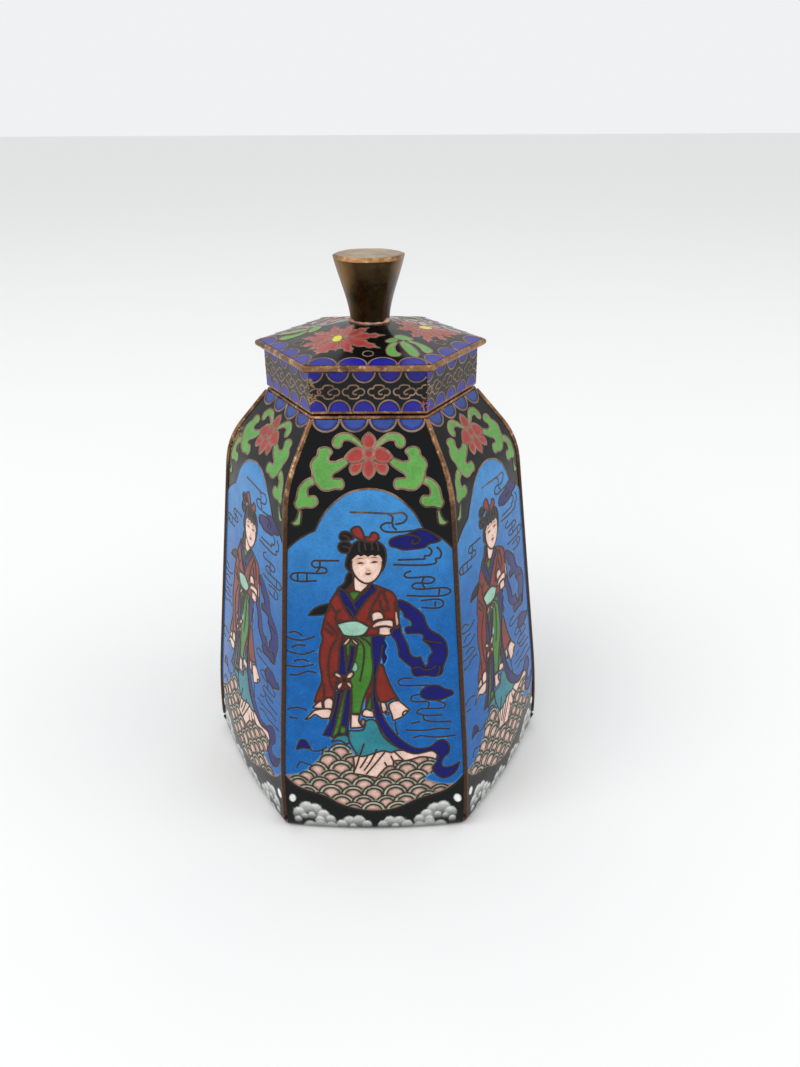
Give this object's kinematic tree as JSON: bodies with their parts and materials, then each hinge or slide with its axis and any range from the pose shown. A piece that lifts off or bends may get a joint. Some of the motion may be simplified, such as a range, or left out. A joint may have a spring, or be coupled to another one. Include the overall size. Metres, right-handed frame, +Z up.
{
  "type": "cloisonne enamel jar",
  "caption": "Six-sided lidded cloisonne enamel jar with sloping shoulders, raised copper corner strips, a lift-off eaved lid and a flared bronze knob.",
  "frame": {"origin": "centre of the underside, where the foot ring rests", "axes": "+Z up through the knob; -Y out of the face that is looked at squarely; +X towards a corner"},
  "size_m": [0.0764, 0.068, 0.1107],
  "materials": {
    "enamel": "polished cloisonne enamel on copper",
    "lid_enamel": "polished black cloisonne enamel on copper",
    "bronze": "dark rubbed bronze",
    "copper": "polished copper wire and strip, browned"
  },
  "bodies": {
    "root": {"body": "enamel", "lid": "lid_enamel", "knob": "bronze"}
  },
  "joints": []
}
